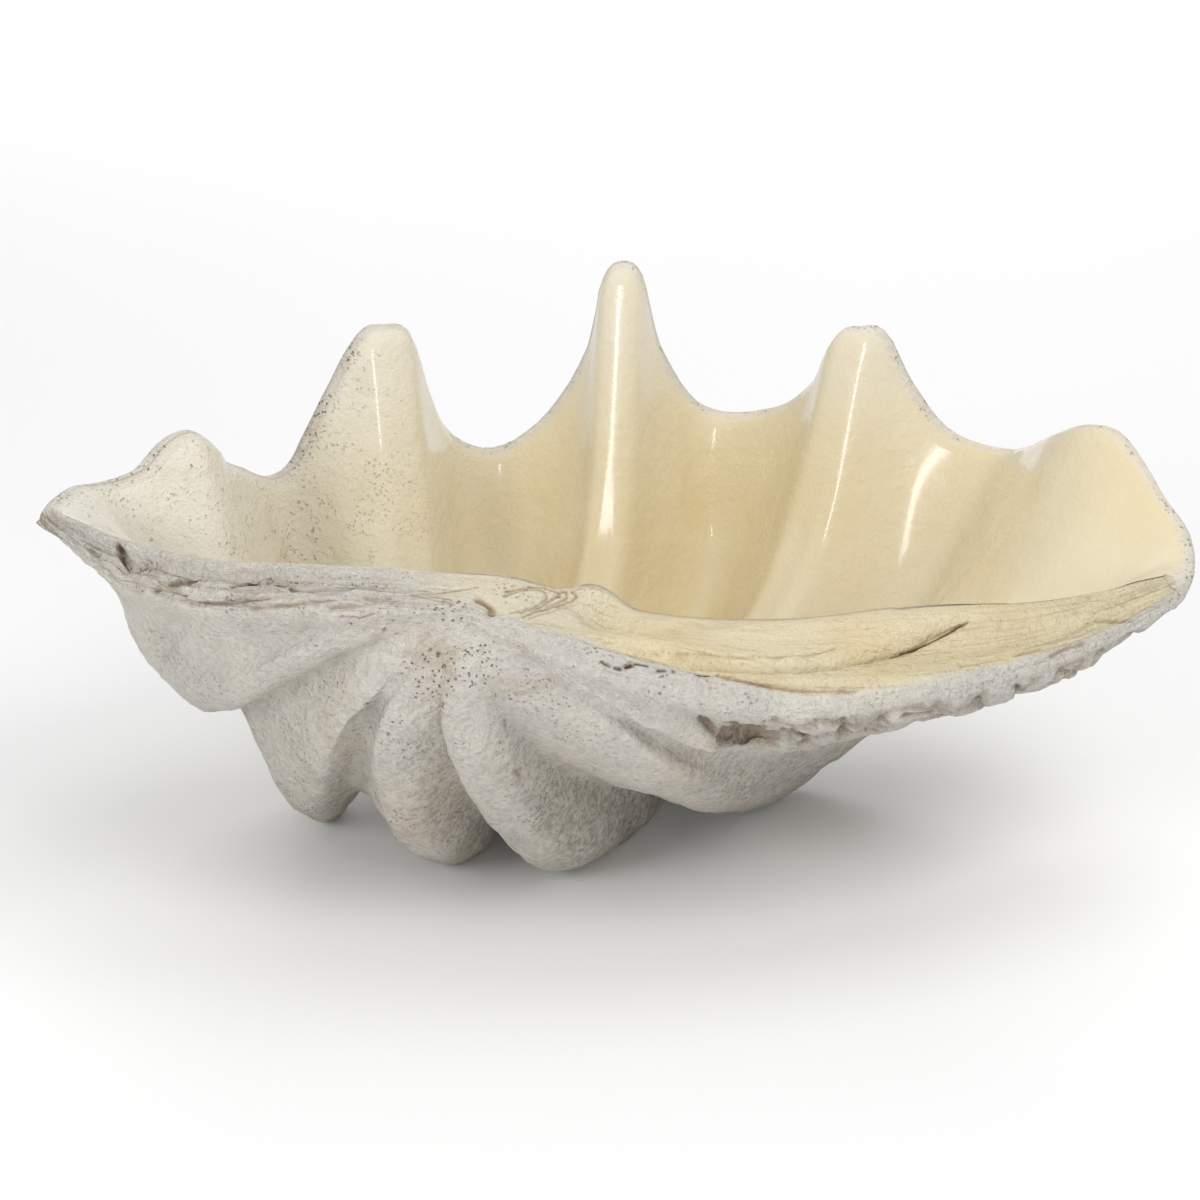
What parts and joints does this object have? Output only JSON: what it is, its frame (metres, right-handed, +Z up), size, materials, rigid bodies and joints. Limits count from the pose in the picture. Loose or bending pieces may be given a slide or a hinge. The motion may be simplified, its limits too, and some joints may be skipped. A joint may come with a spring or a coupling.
{
  "type": "giant clam shell",
  "caption": "Single fluted valve of a giant clam, lying hollow side up, with a scalloped lip, deep ribs and a broad hinge rim.",
  "frame": {"origin": "middle of the footprint, on the ground", "axes": "+X along the hinge towards the long end, +Y from the hinge to the scalloped back lip, +Z up out of the hollow"},
  "size_m": [0.7742, 0.4857, 0.3578],
  "materials": {
    "shell": "chalky off-white outside, glossy cream-yellow inside"
  },
  "bodies": {
    "root": {"shell": "shell"}
  },
  "joints": []
}
